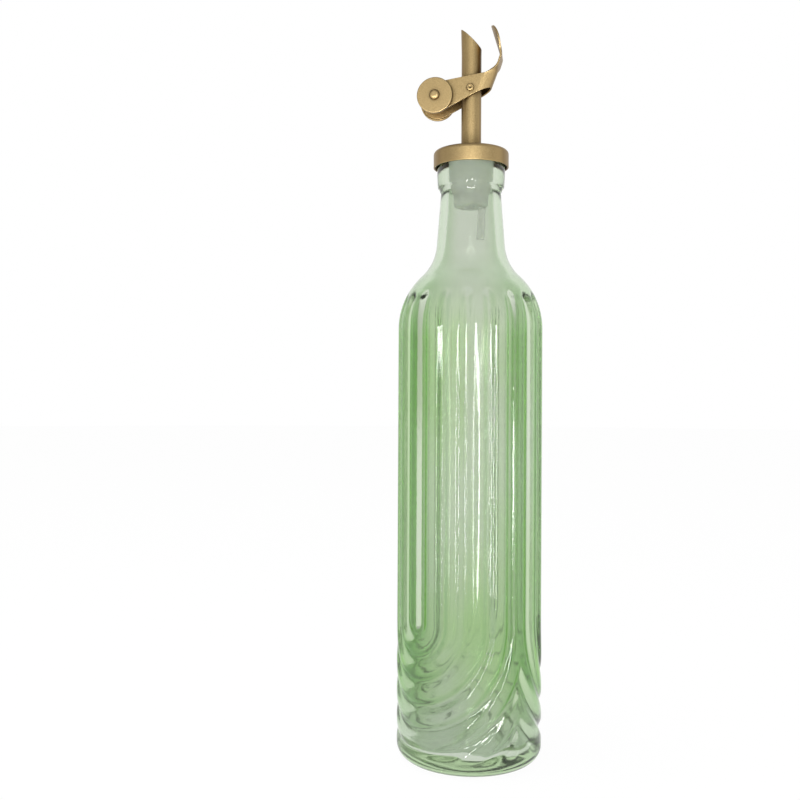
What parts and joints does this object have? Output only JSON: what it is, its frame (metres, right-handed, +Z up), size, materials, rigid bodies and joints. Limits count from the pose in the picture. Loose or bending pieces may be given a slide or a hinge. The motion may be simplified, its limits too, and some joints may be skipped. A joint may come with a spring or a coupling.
{
  "type": "oil bottle with pourer",
  "caption": "Tall pale green glass oil bottle, fluted with swags round its foot, closed by a push-in gold metal pourer whose counterweighted lid swings on the slanted spout.",
  "frame": {"origin": "centre of the base, on the plane the bottle stands on", "axes": "+Z up along the bottle, +X the way the spout pours, +Y to the left of the pour"},
  "size_m": [0.0652, 0.0652, 0.3299],
  "materials": {
    "green_glass": "clear pale green pressed glass",
    "gold_metal": "satin gold metal with a fine grain",
    "frosted_plastic": "frosted translucent white plastic",
    "clear_tube": "milky translucent tube"
  },
  "bodies": {
    "bottle": {"glass_bottle": "green_glass"},
    "plug": {"stopper": "frosted_plastic", "vent_tube": "clear_tube"},
    "head": {"pourer_cap": "gold_metal", "spout_tube": "gold_metal", "pivot_rivet_left": "gold_metal", "pivot_rivet_right": "gold_metal"},
    "lid": {"lid_lever": "gold_metal", "weight_left": "gold_metal", "weight_right": "gold_metal", "weight_rivet_left": "gold_metal", "weight_rivet_right": "gold_metal"}
  },
  "joints": [
    {"name": "pourer_lift", "type": "slide", "parent": "bottle", "child": "plug", "axis": [0, 0, 1], "range_m": [0, 0.06]},
    {"name": "spout_turn", "type": "hinge", "parent": "plug", "child": "head", "pos_m": [0, 0, 0.2734], "axis": [0, 0, 1], "continuous": true},
    {"name": "lid_swing", "type": "hinge", "parent": "head", "child": "lid", "pos_m": [0, 0, 0.301], "axis": [0, 1, 0], "range_deg": [-28, 52]}
  ]
}
